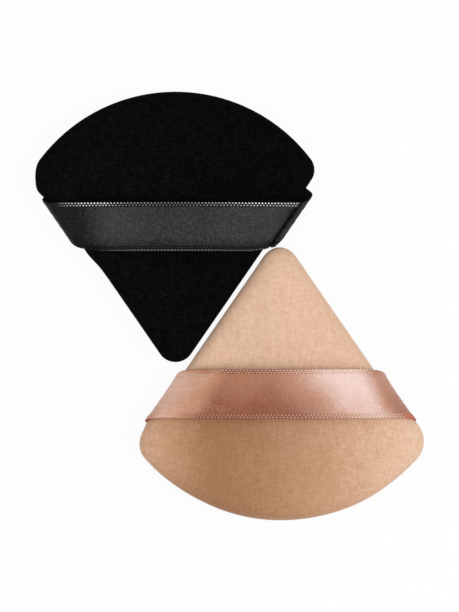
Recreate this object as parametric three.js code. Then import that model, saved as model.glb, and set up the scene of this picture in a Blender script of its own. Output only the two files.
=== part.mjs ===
// Two fan-shaped velour powder puffs, one black and one nude, side by side and ribbon up.
// Millimetres, +Z up. Each puff is a front and a back cover of velour, sewn together inside
// out and turned, with a foam core, and a satin ribbon whose ends are caught in the side seams.
import * as THREE from 'three';

const degree = Math.PI / 180;

// Shape that both puffs share
const halfAngle = 34.6 * degree;    // between the middle line and a straight side
const puffThickness = 11;           // from the table to the middle of the face
const flatDepth = 0.5;              // cut off the underside, where the puff rests
const edgeRoll = 4.5;               // band along the edge where the face turns down
const crownPower = 8;               // how flat the face is: a higher power turns down later

// Velour, seam and thread
const velourThickness = 1.2;
const seamAllowance = 3;            // width of velour turned in behind the seam
const threadWidth = 0.5;
const threadInset = 0.9;            // from the seam line to the middle of its lockstitch
const closingLength = 26;           // slip stitch on the wide side
const closingPitch = 6;             // one full wave, two stitches
const closingWidth = 0.36;
const closingDepth = 0.35;          // how far the slip stitch lies inside the edge
const closingSwing = 0.2;           // how far it swings from front to back

// Ribbon
const ribbonWidth = 12.2;
const ribbonThickness = 0.4;
const ribbonLanding = 2.5;          // inside the edge, where the ribbon starts to turn down
const ribbonKnee = 1.3;             // height above the seam at which it bulges most
const ribbonHeel = 0.6;             // inside the edge, where it lies flat in the seam
const ribbonLie = 1.2;              // flat stretch between the loop and the landing

const clearance = 0.3;

// How the two lie: side by side, with each tip beside the other's ribbon
const sideGap = 1.1;
const tipNest = 0.65;               // how far a tip reaches past the ribbon's edge line

// What differs between the two, measured on each. At each end of the ribbon, bulge is how far
// it stands out past the edge, drift how far its slanted fold runs on towards the wide side,
// and tuck how much is taken in on the tip side.
const blackPuff = {
  name: 'black',
  length: 71.2,                     // from where the side lines meet to the wide side
  wideRadius: 42.4,
  tipRadius: 4.7,
  shoulderRadius: 4.4,
  ribbonDrop: 37.4,                 // from where the side lines meet to the ribbon's middle
  loopRise: 4.7,                    // how much the ribbon's loop stands off the face
  rightEnd: { bulge: 2.5, drift: 0.3, tuck: 3.3 },
  leftEnd: { bulge: 2.6, drift: 3, tuck: 0 },
  velour: 0x0d0d0f,
  satin: 0x39393b,
  thread: 0x161618,
};
const nudePuff = {
  name: 'nude',
  length: 71.8,
  wideRadius: 44.7,
  tipRadius: 5.1,
  shoulderRadius: 5.2,
  ribbonDrop: 40,
  loopRise: 5.5,
  rightEnd: { bulge: 1.5, drift: 1.1, tuck: 1.1 },
  leftEnd: { bulge: 1.1, drift: 1.2, tuck: 1.3 },
  velour: 0xc9a07c,
  satin: 0xc79684,
  thread: 0xd8b59c,
};

// Roughness of the finishes
const velourRoughness = 0.95;
const satinRoughness = 0.35;
const foamRoughness = 0.9;
const threadRoughness = 0.6;
const foamColour = 0xf3ead6;

// Worked out from the values above
const seamHeight = puffThickness - (puffThickness + flatDepth) / 2;
const faceRise = puffThickness - seamHeight;          // from the seam to the middle of a face
const insideRise = faceRise - velourThickness;        // the same inside the cover
const seamSlot = ribbonThickness / 2;                 // half the slot that holds the ribbon
const foldTop = seamSlot + velourThickness;           // where the velour has turned upright
const allowanceEnd = velourThickness + seamAllowance; // inset of the cut edge inside
const foamSlot = foldTop + threadWidth + clearance;   // half the groove round the allowances
const sine = Math.sin(halfAngle);
const cosine = Math.cos(halfAngle);
const tangent = Math.tan(halfAngle);

// Steps round an outline, for half of it
const tipSteps = 3;
const sideSteps = 7;
const shoulderSteps = 4;
const wideSteps = 8;

// Shares of the edge roll and of the way from it to the middle, at which rings are set
const rollShares = [1, 0.6, 0.32, 0.13, 0.035];
const crownShares = [0.85, 0.6, 0.35, 0.15];
const innerRollShares = [1, 0.45, 0.12];
const innerCrownShares = [0.65, 0.3];
const cornerTightenShare = 0.5;     // how fast corners tighten as the outline moves in
const leastCornerShare = 0.2;
const roundingShare = 0.6;          // how round the rings become towards the middle

// Section of a thread that lies flat: across and up, as shares of its width
const threadShares = [[-0.3, 0], [-0.5, 0.5], [-0.3, 1], [0.3, 1], [0.5, 0.5], [0.3, 0]];

function cornerRadius(radius, inset) {
  return Math.max(radius - inset * cornerTightenShare, radius * leastCornerShare);
}

function onCircle(centre, radius, angle) {
  return new THREE.Vector2(
    centre.x + radius * Math.cos(angle),
    centre.y + radius * Math.sin(angle),
  );
}

// The points of an arc from one angle to another, both ends included.
function arcPoints(centre, radius, from, to, steps) {
  const points = [];
  for (let i = 0; i <= steps; i += 1) {
    points.push(onCircle(centre, radius, from + (to - from) * (i / steps)));
  }
  return points;
}

// The closed outline of a puff, clockwise from its tip, with every side moved in by inset.
// The straight sides meet at the origin and the puff lies below it.
function outline(puff, inset) {
  const tipRadius = cornerRadius(puff.tipRadius, inset);
  const tipCentre = new THREE.Vector2(0, -(inset + tipRadius) / sine);
  const wideRadius = puff.wideRadius - inset;
  const wideCentre = new THREE.Vector2(0, puff.wideRadius - puff.length);
  // The shoulder's circle touches the side line and the wide arc from within
  const shoulderRadius = cornerRadius(puff.shoulderRadius, inset);
  const offSide = inset + shoulderRadius;
  const reach = puff.wideRadius - offSide;
  const depth = -wideCentre.y - offSide / sine;
  const root = (depth / tangent) ** 2 - (depth ** 2 - reach ** 2) / sine ** 2;
  const across = sine ** 2 * (depth / tangent + Math.sqrt(root));
  const shoulder = new THREE.Vector2(across, -(offSide + across * cosine) / sine);
  const turn = Math.atan2(shoulder.y - wideCentre.y, shoulder.x - wideCentre.x);

  const tip = arcPoints(tipCentre, tipRadius, Math.PI / 2, halfAngle, tipSteps);
  const corner = arcPoints(shoulder, shoulderRadius, halfAngle, turn, shoulderSteps);
  const wide = arcPoints(wideCentre, wideRadius, turn, -Math.PI / 2, wideSteps);
  const side = [];
  for (let i = 1; i < sideSteps; i += 1) {
    side.push(tip[tipSteps].clone().lerp(corner[0], i / sideSteps));
  }
  const right = [...tip, ...side, ...corner, ...wide.slice(1)];
  const left = right.slice(1, -1).reverse().map((point) => new THREE.Vector2(-point.x, point.y));
  return [...right, ...left];
}

// The middle of a puff is as far from its sides as from its wide edge.
function middleOf(puff) {
  return new THREE.Vector2(0, -puff.length / (1 + sine));
}

function reachOf(puff) {
  return (puff.length * sine) / (1 + sine);
}

// A ring of points at a height. draw takes it from the outline (0) towards the middle (1),
// and it becomes rounder on the way.
function ring(puff, inset, draw, z) {
  const middle = middleOf(puff);
  const roundReach = reachOf(puff) - inset;
  return outline(puff, inset).map((point) => {
    const spoke = point.clone().sub(middle);
    const length = spoke.length();
    const target = THREE.MathUtils.lerp(length, roundReach, draw * roundingShare);
    spoke.multiplyScalar((target / length) * (1 - draw));
    return new THREE.Vector3(middle.x + spoke.x, middle.y + spoke.y, z);
  });
}

// Joins rings into a closed surface. The ends close on a pole or, when looped, on each other.
function loft(rings, poles) {
  const count = rings[0].length;
  const points = rings.flat();
  const faces = [];
  const bands = poles ? rings.length - 1 : rings.length;
  for (let k = 0; k < bands; k += 1) {
    const upper = k * count;
    const lower = ((k + 1) % rings.length) * count;
    for (let i = 0; i < count; i += 1) {
      const next = (i + 1) % count;
      faces.push(upper + i, upper + next, lower + next);
      faces.push(upper + i, lower + next, lower + i);
    }
  }
  if (poles) {
    const first = points.length;
    const last = first + 1;
    const base = (rings.length - 1) * count;
    points.push(poles[0], poles[1]);
    for (let i = 0; i < count; i += 1) {
      const next = (i + 1) % count;
      faces.push(first, next, i);
      faces.push(base + i, base + next, last);
    }
  }
  return geometryFrom(points, faces);
}

function geometryFrom(points, faces) {
  const geometry = new THREE.BufferGeometry().setFromPoints(points);
  geometry.setIndex(faces);
  geometry.computeVertexNormals();
  return geometry;
}

// Height of a cover above the seam, at a share of the way from its edge to its middle.
function swell(low, high, share) {
  return low + (high - low) * Math.sqrt(1 - (1 - share) ** crownPower);
}

// The rings of one domed surface, from near the middle out to start. The surface stands
// upright at edge, rises there from low, and reaches high in the middle, both less its drop.
function domeStations(puff, start, surface, crown, roll) {
  const { edge, low, high, drop } = surface;
  const reach = reachOf(puff);
  const heightAt = (inset) => swell(low, high, (inset - edge) / (reach - edge)) - drop;
  const stations = crown.map((draw) => (
    { inset: edgeRoll, draw, height: heightAt(edgeRoll + draw * (reach - edgeRoll)) }
  ));
  roll.forEach((part) => {
    const inset = start + part * (edgeRoll - start);
    stations.push({ inset, draw: 0, height: heightAt(inset) });
  });
  return stations;
}

// The section of a cover, from the middle of its outside, over the edge, in along the seam
// allowance and back over its inside.
function coverStations(puff) {
  const outer = { edge: 0, low: foldTop, high: faceRise, drop: 0 };
  const stations = domeStations(puff, outer.edge, outer, crownShares, rollShares);
  stations.push({ inset: 0, draw: 0, height: foldTop });
  // The velour turns in at the seam, round a fold as thick as itself
  const foldSteps = 3;
  for (let i = 1; i <= foldSteps; i += 1) {
    const angle = (Math.PI / 2) * (i / foldSteps);
    const inset = velourThickness * (1 - Math.cos(angle));
    const height = i === foldSteps ? seamSlot : foldTop - velourThickness * Math.sin(angle);
    stations.push({ inset, draw: 0, height });
  }
  stations.push({ inset: allowanceEnd, draw: 0, height: seamSlot });
  stations.push({ inset: allowanceEnd, draw: 0, height: foldTop });
  stations.push({ inset: velourThickness, draw: 0, height: foldTop });
  const inner = { edge: velourThickness, low: foldTop, high: insideRise, drop: 0 };
  const wall = domeStations(puff, inner.edge, inner, innerCrownShares, innerRollShares);
  stations.push(...wall.reverse());
  return stations;
}

function ringsAt(puff, stations, side) {
  return stations.map(({ inset, draw, height }) => (
    ring(puff, inset, draw, Math.max(seamHeight + side * height, 0))
  ));
}

function pole(puff, z) {
  const middle = middleOf(puff);
  return new THREE.Vector3(middle.x, middle.y, Math.max(z, 0));
}

function makeFrontCover(puff) {
  const rings = ringsAt(puff, coverStations(puff), 1);
  const outside = pole(puff, seamHeight + faceRise);
  const inside = pole(puff, seamHeight + insideRise);
  return loft(rings, [outside, inside]);
}

// The back cover is the front one mirrored, cut flat where the puff rests.
function makeBackCover(puff) {
  const rings = ringsAt(puff, coverStations(puff), -1).reverse();
  const outside = pole(puff, seamHeight - faceRise);
  const inside = pole(puff, seamHeight - insideRise);
  return loft(rings, [inside, outside]);
}

// The foam fills both covers, with a groove round its edge for the seam allowances. It keeps
// its clearance to the velour, and starts where its surface has risen to the groove's side.
function makeFoamCore(puff) {
  const edge = velourThickness + clearance;
  const surface = { edge, low: foldTop, high: insideRise, drop: clearance };
  const risen = (foamSlot + clearance - foldTop) / (insideRise - foldTop);
  const share = 1 - (1 - risen ** 2) ** (1 / crownPower);
  const start = edge + share * (reachOf(puff) - edge);
  const half = domeStations(puff, start, surface, innerCrownShares, innerRollShares);
  half.push({ inset: start, draw: 0, height: foamSlot });
  half.push({ inset: allowanceEnd + clearance, draw: 0, height: foamSlot });
  const upper = ringsAt(puff, half, 1);
  const lower = ringsAt(puff, half, -1).reverse();
  const top = insideRise - clearance;
  return loft([...upper, ...lower], [pole(puff, seamHeight + top), pole(puff, seamHeight - top)]);
}

// One thread of the lockstitch, lying on the seam allowance all the way round.
function makeSeamThread(puff, side) {
  const inset = velourThickness + threadInset;
  const stations = threadShares.map(([across, up]) => (
    { inset: inset + across * threadWidth, draw: 0, height: foldTop + up * threadWidth }
  ));
  const rings = ringsAt(puff, stations, side);
  return loft(side > 0 ? rings.reverse() : rings, null);
}

// The slip stitch that closes the wide side swings from fold to fold in the seam's groove.
class ClosingCurve extends THREE.Curve {
  constructor(puff) {
    super();
    this.radius = puff.wideRadius - closingDepth;
    this.centre = puff.wideRadius - puff.length;
  }

  getPoint(share, target = new THREE.Vector3()) {
    const along = (share - 1 / 2) * closingLength;
    const angle = along / this.radius;
    const z = seamHeight + closingSwing * Math.sin((2 * Math.PI * along) / closingPitch);
    return target.set(this.radius * Math.sin(angle), this.centre - this.radius * Math.cos(angle), z);
  }
}

function makeClosingThread(puff) {
  const sides = 6;
  const stepsPerWave = 8;
  const section = new THREE.Shape(arcPoints(
    new THREE.Vector2(0, 0), closingWidth / 2, 0, 2 * Math.PI, sides,
  ).slice(1));
  const geometry = new THREE.ExtrudeGeometry(section, {
    extrudePath: new ClosingCurve(puff),
    steps: Math.round((closingLength / closingPitch) * stepsPerWave),
  });
  return geometry;
}

// The ribbon's path at one end, seen along the slanted edge: out from the edge line and up.
// It leaves the face, bulges past the edge and turns back flat into the seam. lean is the
// angle it has turned through, and reached the furthest it has been out so far.
function foldPath(end) {
  const top = puffThickness + clearance + ribbonThickness / 2;
  const knee = seamHeight + ribbonKnee;
  const out = end.bulge - ribbonThickness / 2;
  const upper = { across: out + ribbonLanding, up: top - knee, steps: 7 };
  const lower = { across: out + ribbonHeel, up: ribbonKnee, steps: 5 };
  const path = [];
  for (let i = 0; i < upper.steps; i += 1) {
    const angle = (Math.PI / 2) * (i / upper.steps);
    const place = upper.across * Math.sin(angle) - ribbonLanding;
    path.push({
      out: place,
      reached: place,
      z: knee + upper.up * Math.cos(angle),
      lean: Math.atan2(upper.up * Math.sin(angle), upper.across * Math.cos(angle)),
    });
  }
  for (let i = 0; i < lower.steps; i += 1) {
    const angle = (Math.PI / 2) * (i / lower.steps);
    const turn = Math.atan2(lower.across * Math.sin(angle), lower.up * Math.cos(angle));
    path.push({
      out: lower.across * Math.cos(angle) - ribbonHeel,
      reached: out,
      z: knee - lower.up * Math.sin(angle),
      lean: Math.PI / 2 + turn,
    });
  }
  // The last stretch lies flat between the seam allowances, to their cut edge
  path.push({ out: -ribbonHeel, reached: out, z: seamHeight, lean: Math.PI });
  path.push({ out: -allowanceEnd, reached: out, z: seamHeight, lean: Math.PI });
  return path;
}

// Four points across the ribbon where it is folded: both edges above, then both below.
function foldRow({ out, z, lean }, tipSide, wideSide) {
  const flat = lean === Math.PI;
  const offOut = flat ? 0 : (ribbonThickness / 2) * Math.sin(lean);
  const offUp = flat ? -ribbonThickness / 2 : (ribbonThickness / 2) * Math.cos(lean);
  const place = (along, face) => new THREE.Vector3(
    (out + face * offOut) * cosine + along * sine,
    (out + face * offOut) * sine - along * cosine,
    z + face * offUp,
  );
  return [place(tipSide, 1), place(wideSide, 1), place(wideSide, -1), place(tipSide, -1)];
}

// Rows from the ribbon's landing into the right seam. A row runs along the slanted edge, at
// a distance along it from where the side lines meet, so the fold there stays straight.
function foldRows(puff, end) {
  const half = ribbonWidth / (2 * cosine);
  const path = foldPath(end);
  const fallen = (place) => (path[0].z - place.z) / (path[0].z - seamHeight);
  return path.map((place) => {
    const fall = fallen(place);
    const centre = puff.ribbonDrop / cosine + place.reached * tangent + end.drift * fall;
    return foldRow(place, centre - half + end.tuck * fall, centre + half);
  });
}

// Rows of the loop over the middle of the face.
function loopRows(puff) {
  const tipEdge = puff.ribbonDrop - ribbonWidth / 2;
  const reach = (tipEdge * sine - ribbonLanding) / cosine - ribbonLie;
  const z = puffThickness + clearance + ribbonThickness / 2;
  const steps = 16;
  const rows = [];
  for (let i = 0; i <= steps; i += 1) {
    const phase = Math.PI * ((2 * i) / steps - 1);
    const x = (reach * phase) / Math.PI;
    const rise = (puff.loopRise / 2) * (1 + Math.cos(phase));
    const slope = Math.atan2((puff.loopRise / 2) * Math.PI * -Math.sin(phase), reach);
    const offX = (-ribbonThickness / 2) * Math.sin(slope);
    const offZ = (ribbonThickness / 2) * Math.cos(slope);
    const tipY = -tipEdge;
    const wideY = tipY - ribbonWidth;
    rows.push([
      new THREE.Vector3(x + offX, tipY, z + rise + offZ),
      new THREE.Vector3(x + offX, wideY, z + rise + offZ),
      new THREE.Vector3(x - offX, wideY, z + rise - offZ),
      new THREE.Vector3(x - offX, tipY, z + rise - offZ),
    ]);
  }
  return rows;
}

function makeRibbon(puff) {
  const right = foldRows(puff, puff.rightEnd);
  const left = foldRows(puff, puff.leftEnd).reverse().map((points) => (
    points.map((point) => new THREE.Vector3(-point.x, point.y, point.z))
  ));
  const rows = [...left, ...loopRows(puff), ...right];
  const corners = rows[0].length;
  const last = (rows.length - 1) * corners;
  const faces = [0, 2, 1, 0, 3, 2];
  for (let k = 0; k < last; k += corners) {
    for (let i = 0; i < corners; i += 1) {
      const next = (i + 1) % corners;
      faces.push(k + i, k + corners + next, k + corners + i);
      faces.push(k + i, k + next, k + corners + next);
    }
  }
  faces.push(last, last + 1, last + 2, last, last + 2, last + 3);
  return geometryFrom(rows.flat(), faces);
}

function addPiece(group, puff, piece, geometry, color, roughness) {
  const material = new THREE.MeshStandardMaterial({ color, roughness, metalness: 0 });
  const mesh = new THREE.Mesh(geometry, material);
  mesh.name = `${puff.name}_${piece}`;
  group.add(mesh);
}

function makePuff(puff) {
  const group = new THREE.Group();
  const { velour, satin, thread } = puff;
  addPiece(group, puff, 'front_cover', makeFrontCover(puff), velour, velourRoughness);
  addPiece(group, puff, 'back_cover', makeBackCover(puff), velour, velourRoughness);
  addPiece(group, puff, 'foam_core', makeFoamCore(puff), foamColour, foamRoughness);
  addPiece(group, puff, 'ribbon_strap', makeRibbon(puff), satin, satinRoughness);
  addPiece(group, puff, 'needle_thread', makeSeamThread(puff, 1), thread, threadRoughness);
  addPiece(group, puff, 'bobbin_thread', makeSeamThread(puff, -1), thread, threadRoughness);
  addPiece(group, puff, 'closing_thread', makeClosingThread(puff), thread, threadRoughness);
  return group;
}

// How far a tip stands back from where its side lines meet.
function tipSetback(puff) {
  return puff.tipRadius * (1 / sine - 1);
}

// How far apart the two side corners can lie along the sides, before the tip of one puff
// reaches the ribbon of the other.
function slideTo(ribbonOwner, tipOwner) {
  const ribbonEdge = ribbonOwner.ribbonDrop - ribbonWidth / 2;
  return (ribbonEdge + tipNest + tipSetback(tipOwner) + sideGap * sine) / cosine;
}

const slide = Math.min(slideTo(blackPuff, nudePuff), slideTo(nudePuff, blackPuff));

const black = makePuff(blackPuff);
black.rotation.z = Math.PI;

const nude = makePuff(nudePuff);
nude.position.x = slide * sine + sideGap * cosine;
nude.position.y = slide * cosine - sideGap * sine;

const group = new THREE.Group();
group.add(black, nude);

// The origin is on the table, under the middle of the two
const middle = new THREE.Box3().setFromObject(group).getCenter(new THREE.Vector3());
group.position.x = -middle.x;
group.position.y = -middle.y;

export default group;
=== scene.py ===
# Two fan-shaped velour powder puffs, one black and one nude, side by side with the ribbons up.
import math

import bpy
import numpy as np
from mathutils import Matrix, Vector
from mathutils.kdtree import KDTree


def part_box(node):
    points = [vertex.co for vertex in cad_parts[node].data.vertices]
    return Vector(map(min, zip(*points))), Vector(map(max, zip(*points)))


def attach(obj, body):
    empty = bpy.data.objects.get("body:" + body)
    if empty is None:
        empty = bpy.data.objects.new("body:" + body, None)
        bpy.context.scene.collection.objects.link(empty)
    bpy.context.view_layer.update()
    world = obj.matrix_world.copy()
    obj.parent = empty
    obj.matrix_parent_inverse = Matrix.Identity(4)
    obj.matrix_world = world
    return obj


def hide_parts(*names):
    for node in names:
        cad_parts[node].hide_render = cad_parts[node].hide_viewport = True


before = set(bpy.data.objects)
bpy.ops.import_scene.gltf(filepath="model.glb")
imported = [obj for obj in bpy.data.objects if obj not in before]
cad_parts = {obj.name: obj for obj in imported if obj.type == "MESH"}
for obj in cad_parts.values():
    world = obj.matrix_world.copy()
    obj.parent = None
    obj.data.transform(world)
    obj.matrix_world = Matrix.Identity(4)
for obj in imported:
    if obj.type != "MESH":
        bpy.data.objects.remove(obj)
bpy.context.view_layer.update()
mm = 0.001
print("frame loaded:", len(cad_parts), "solids")


# Camera and lights

cameraSetup = {
    "middle": (0.2 * mm, 0.0),  # what the view is centred on
    "height": 1.1,
    "viewHeight": 0.153,  # how much of the table the long side of the frame shows
    "aimHeight": 6.6 * mm,
    "sensor": 36,
}

camera = bpy.data.objects.new("camera", bpy.data.cameras.new("camera"))
camera.data.sensor_width = cameraSetup["sensor"]
camera.data.lens = cameraSetup["sensor"] * cameraSetup["height"] / cameraSetup["viewHeight"]
camera.data.clip_start = 0.05
camera.data.clip_end = 20
camera.location = (*cameraSetup["middle"], cameraSetup["height"] + cameraSetup["aimHeight"])
bpy.context.collection.objects.link(camera)
bpy.context.scene.camera = camera
bpy.context.scene.view_settings.view_transform = "Standard"

lightSetup = {
    "world": 0.42,
    "distance": 0.9,
    "lamps": {
        "key": {"azimuth": 355, "elevation": 51, "size": 0.42, "power": 3.3},
        "fill": {"azimuth": 186, "elevation": 55, "size": 0.3, "power": 1.5},
        "front": {"azimuth": 270, "elevation": 60, "size": 0.4, "power": 0.85},
        "top": {"azimuth": 115, "elevation": 74, "size": 0.4, "power": 0.75},
    },
}


def addLight(name, azimuth, elevation, size, power):
    lamp = bpy.data.lights.new(name, "AREA")
    lamp.shape = "DISK"
    lamp.size = size
    lamp.energy = power
    turn, rise = math.radians(azimuth), math.radians(elevation)
    away = Vector((math.cos(turn) * math.cos(rise), math.sin(turn) * math.cos(rise), math.sin(rise)))
    light = bpy.data.objects.new(name, lamp)
    light.location = away * lightSetup["distance"]
    light.rotation_euler = away.to_track_quat("Z", "Y").to_euler()
    bpy.context.collection.objects.link(light)


for lampName, lampValues in lightSetup["lamps"].items():
    addLight(lampName, **lampValues)


# Helpers for meshes and shader nodes


def meshObject(name, points, faces, material, smooth=True):
    mesh = bpy.data.meshes.new(name)
    mesh.from_pydata([tuple(p) for p in points], [], faces)
    mesh.materials.append(material)
    if smooth:
        mesh.polygons.foreach_set("use_smooth", [True] * len(mesh.polygons))
    mesh.update()
    thing = bpy.data.objects.new(name, mesh)
    bpy.context.collection.objects.link(thing)
    return thing


def addPointValues(thing, name, values):
    layer = thing.data.attributes.new(name, "FLOAT", "POINT")
    layer.data.foreach_set("value", values)


def smoothStep(value, low, high):
    part = np.clip((value - low) / (high - low), 0, 1)
    return part * part * (3 - 2 * part)


# A shader node; each of its inputs is a value, a colour or the socket that feeds it
def newNode(tree, kind, inputs=None, **settings):
    node = tree.nodes.new(kind)
    for setting, value in settings.items():
        setattr(node, setting, value)
    for label, value in (inputs or {}).items():
        socket = node.inputs[label]
        if isinstance(value, bpy.types.NodeSocket):
            tree.links.new(value, socket)
        else:
            socket.default_value = (*value, 1) if socket.type == "RGBA" else value
    return node


def emptyTree(holder):
    holder.use_nodes = True
    holder.node_tree.nodes.clear()
    return holder.node_tree


def maths(tree, operation, *values, clamp=False):
    inputs = dict(enumerate(values))
    return newNode(tree, "ShaderNodeMath", inputs, operation=operation, use_clamp=clamp).outputs[0]


def times(tree, first, second):
    return maths(tree, "MULTIPLY", first, second)


# The sum of two or more values, from left to right
def plus(tree, first, *others, clamp=False):
    for other in others[:-1]:
        first = maths(tree, "ADD", first, other)
    return maths(tree, "ADD", first, others[-1], clamp=clamp)


# A mask that swings either way round 0, by swing times its distance from a half
def centred(tree, value, swing):
    return times(tree, maths(tree, "SUBTRACT", value, 0.5), swing)


def ranged(tree, value, fromMin, fromMax, toMin=0, toMax=1, smooth=True):
    inputs = {"Value": value, "From Min": fromMin, "From Max": fromMax, "To Min": toMin, "To Max": toMax}
    kind = "SMOOTHSTEP" if smooth else "LINEAR"
    return newNode(tree, "ShaderNodeMapRange", inputs, interpolation_type=kind).outputs[0]


# Noise whose features are about as large as size says, which is a number or a socket
def noise(tree, vector, size, detail=2, roughness=0.5, distortion=0):
    scale = 1 / size if isinstance(size, float) else maths(tree, "DIVIDE", 1, size)
    inputs = {"Vector": vector, "Scale": scale, "Detail": detail, "Roughness": roughness}
    return newNode(tree, "ShaderNodeTexNoise", {**inputs, "Distortion": distortion}).outputs["Fac"]


def stretched(tree, vector, scale):
    return newNode(tree, "ShaderNodeMapping", {"Vector": vector, "Scale": scale}).outputs[0]


def separated(tree, vector):
    return newNode(tree, "ShaderNodeSeparateXYZ", {0: vector}).outputs


def objectPlace(tree):
    return newNode(tree, "ShaderNodeTexCoord").outputs["Object"]


def pointValue(tree, name):
    return newNode(tree, "ShaderNodeAttribute", attribute_name=name).outputs["Fac"]


# Mixes two colours, or multiplies the first by the second, as far as share says
def blended(tree, share, first, second, blend="MIX"):
    inputs = {"Factor": share, 6: first, 7: second}
    return newNode(tree, "ShaderNodeMix", inputs, data_type="RGBA", blend_type=blend).outputs[2]


# A colour from a row of tones, spaced evenly from 0 to 1
def toned(tree, share, tones):
    ramp = newNode(tree, "ShaderNodeValToRGB", {0: share})
    stops = ramp.color_ramp.elements
    for index, tone in enumerate(tones[:-1]):
        stop = stops[0] if index == 0 else stops.new(index / (len(tones) - 1))
        stop.color = (*tone, 1)
    stops[len(stops) - 1].color = (*tones[-1], 1)
    return ramp.outputs["Color"]


# A material with a plain Principled BSDF; finish holds its constant values
def newMaterial(name, finish):
    material = bpy.data.materials.new(name)
    tree = emptyTree(material)
    shader = newNode(tree, "ShaderNodeBsdfPrincipled", finish)
    newNode(tree, "ShaderNodeOutputMaterial", {"Surface": shader.outputs[0]})
    return material, tree, shader


# Feeds the shader's colour and bump, and its roughness where that changes over the surface
def feedShader(tree, shader, colour, height, depth, strength=1, rough=None):
    inputs = {"Height": height, "Distance": depth, "Strength": strength}
    bump = newNode(tree, "ShaderNodeBump", inputs)
    tree.links.new(colour, shader.inputs["Base Color"])
    tree.links.new(bump.outputs[0], shader.inputs["Normal"])
    if rough is not None:
        tree.links.new(rough, shader.inputs["Roughness"])


# World and table


# 1 where the camera, a mirror or glass looks at a surface, else 0
def seenDirectly(tree):
    rays = newNode(tree, "ShaderNodeLightPath").outputs
    mirrored = maths(tree, "MAXIMUM", rays["Is Glossy Ray"], rays["Is Transmission Ray"])
    return maths(tree, "MAXIMUM", rays["Is Camera Ray"], mirrored)


def makeWorld():
    world = bpy.data.worlds.new("studio")
    bpy.context.scene.world = world
    tree = emptyTree(world)
    level = ranged(tree, seenDirectly(tree), 0, 1, lightSetup["world"], 1, smooth=False)
    background = newNode(tree, "ShaderNodeBackground", {"Color": (1, 1, 1), "Strength": level})
    newNode(tree, "ShaderNodeOutputWorld", {"Surface": background.outputs[0]})


makeWorld()

tableSetup = {
    "size": 3.0,
    "level": -0.02 * mm,
    "colour": (0.9, 0.9, 0.9),
    "white": 0.93,  # share of plain white near the puffs; it rises to 1, so no horizon shows
    "whiter": (0.12, 0.7),  # how far from the middle it starts to rise and reaches 1
}


def makeTable():
    half, level = tableSetup["size"] / 2, tableSetup["level"]
    material = bpy.data.materials.new("whiteTable")
    tree = emptyTree(material)
    away = newNode(tree, "ShaderNodeVectorMath", {0: objectPlace(tree)}, operation="LENGTH")
    rise = (*tableSetup["whiter"], tableSetup["white"], 1)
    white = ranged(tree, away.outputs["Value"], *rise, smooth=False)
    share = times(tree, seenDirectly(tree), white)
    paper = newNode(tree, "ShaderNodeBsdfDiffuse", {"Color": tableSetup["colour"]})
    glow = newNode(tree, "ShaderNodeEmission", {"Color": (1, 1, 1)})
    mix = newNode(tree, "ShaderNodeMixShader", {0: share, 1: paper.outputs[0], 2: glow.outputs[0]})
    newNode(tree, "ShaderNodeOutputMaterial", {"Surface": mix.outputs[0]})
    corners = [(-half, -half, level), (half, -half, level), (half, half, level), (-half, half, level)]
    table = meshObject("table", corners, [(0, 1, 2, 3)], material, smooth=False)


makeTable()
print("camera, lights and table set")


# Shader effects that several materials share


# A shader node group that takes a vector and named sizes; sizes gives their starting values
def newGroup(name, sizes):
    group = bpy.data.node_groups.new(name, "ShaderNodeTree")
    group.interface.new_socket("Vector", in_out="INPUT", socket_type="NodeSocketVector")
    for label, size in sizes.items():
        socket = group.interface.new_socket(label, in_out="INPUT", socket_type="NodeSocketFloat")
        socket.default_value = size
    return group, newNode(group, "NodeGroupInput").outputs


# Puts out the group's results, each under its name
def closeGroup(group, results):
    for label in results:
        group.interface.new_socket(label, in_out="OUTPUT", socket_type="NodeSocketFloat")
    newNode(group, "NodeGroupOutput", results)
    return group


def placeGroup(tree, group, vector, sizes):
    return newNode(tree, "ShaderNodeGroup", {"Vector": vector, **sizes}, node_tree=group).outputs


# Brushed pile: patches that lean one way, tufts, and short strokes along and across the knit
def makeVelourNap():
    sizes = {"Patch Size": 14 * mm, "Stroke Size": 0.7 * mm, "Tuft Size": 0.6 * mm}
    group, given = newGroup("velourNap", sizes)
    vector = given["Vector"]
    lay = noise(group, vector, given["Patch Size"], detail=3, roughness=0.55, distortion=0.6)
    tufts = noise(group, vector, given["Tuft Size"], detail=3, roughness=0.6, distortion=0.4)
    across = stretched(group, vector, (0.3, 1, 1))
    along = stretched(group, vector, (1, 0.3, 1))
    courses = noise(group, across, given["Stroke Size"], roughness=0.6)
    wales = noise(group, along, given["Stroke Size"], roughness=0.6)
    strokes = times(group, plus(group, courses, wales), 0.5)
    height = plus(group, tufts, times(group, strokes, 0.8))
    return closeGroup(group, {"Lay": lay, "Strokes": strokes, "Tufts": tufts, "Height": height})


# Long warp floats that run along the ribbon, small flecks where they dip, and soft crinkles
def makeSatinWeave():
    sizes = {"Warp Spacing": 0.14 * mm, "Fleck Size": 0.42 * mm, "Crinkle Size": 0.72 * mm}
    group, given = newGroup("satinWeave", sizes)
    vector = given["Vector"]
    long = stretched(group, vector, (0.12, 1, 1))
    short = stretched(group, vector, (0.7, 1, 1))
    warp = noise(group, long, given["Warp Spacing"], detail=1)
    fleck = noise(group, short, given["Fleck Size"], roughness=0.6)
    # Thin ridges that wander, where the noise passes its middle value
    wander = centred(group, noise(group, short, given["Crinkle Size"], detail=1, distortion=0.4), 10)
    crinkle = maths(group, "SUBTRACT", 1, maths(group, "ABSOLUTE", wander), clamp=True)
    cloud = noise(group, vector, 6.25 * mm, distortion=0.8)
    height = plus(group, times(group, warp, 0.3), fleck, times(group, crinkle, 0.9))
    results = {"Warp": warp, "Fleck": fleck, "Crinkle": crinkle, "Cloud": cloud, "Height": height}
    return closeGroup(group, results)


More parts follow.
